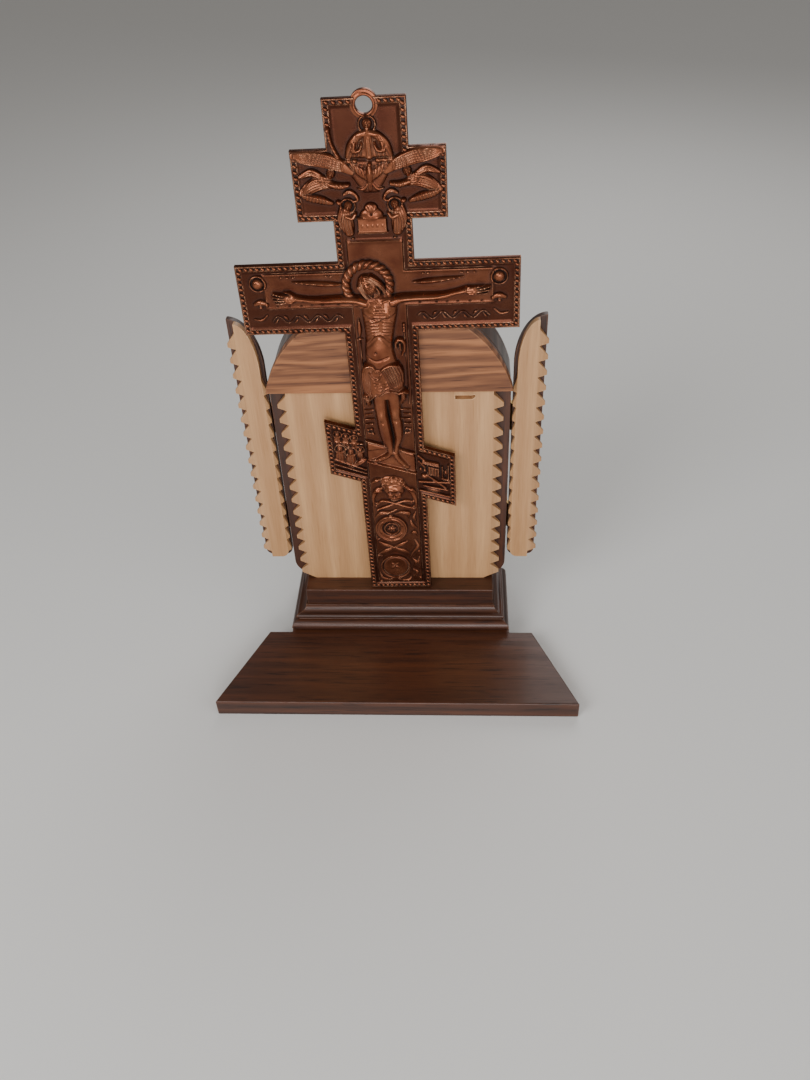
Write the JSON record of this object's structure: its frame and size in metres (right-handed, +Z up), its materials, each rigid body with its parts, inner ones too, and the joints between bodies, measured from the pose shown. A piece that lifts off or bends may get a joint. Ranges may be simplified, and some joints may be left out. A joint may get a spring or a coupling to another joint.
{
  "type": "table shrine with eight-pointed cross",
  "caption": "Cast eight-pointed cross leaning on an arched wooden case with hinged side wings, on a moulded base and tapered plinth board.",
  "frame": {"origin": "centre of the overall box, on the plinth board's underside", "axes": "+Z up, the front looks towards -Y, +X to the viewer's right"},
  "size_m": [0.288, 0.15, 0.4432],
  "materials": {
    "dark_wood": "dark stained, polished",
    "pale_wood": "pale smooth wood, oiled",
    "oak": "mid-brown oak, grain across",
    "cast_brass": "cast, dark patina in the recesses",
    "hinge_brass": "rolled sheet, dulled"
  },
  "bodies": {
    "shrine": {"arch_board": "oak", "base_block": "dark_wood", "base_moulding_front": "dark_wood", "base_moulding_left": "dark_wood", "base_moulding_right": "dark_wood", "case_back_board": "dark_wood", "case_facing": "pale_wood", "case_front_board": "dark_wood", "case_head_strip": "dark_wood", "case_side_left": "dark_wood", "case_side_right": "dark_wood", "cast_cross": "cast_brass", "hinge_case_leaves_left": "hinge_brass", "hinge_case_leaves_right": "hinge_brass", "hinge_pins_left": "hinge_brass", "hinge_pins_right": "hinge_brass", "plinth_board": "dark_wood"},
    "wing_left": {"hinge_wing_leaves_left": "hinge_brass", "wing_facing_left": "pale_wood", "wing_leaf_left": "dark_wood"},
    "wing_right": {"hinge_wing_leaves_right": "hinge_brass", "wing_facing_right": "pale_wood", "wing_leaf_right": "dark_wood"}
  },
  "joints": [
    {"name": "wing_left_hinge", "type": "hinge", "parent": "shrine", "child": "wing_left", "pos_m": [-0.09055, 0.04605, 0.1565], "axis": [0, 0, -1], "range_deg": [0, 85]},
    {"name": "wing_right_hinge", "type": "hinge", "parent": "shrine", "child": "wing_right", "pos_m": [0.09055, 0.04605, 0.1565], "axis": [0, 0, 1], "range_deg": [0, 85]}
  ]
}
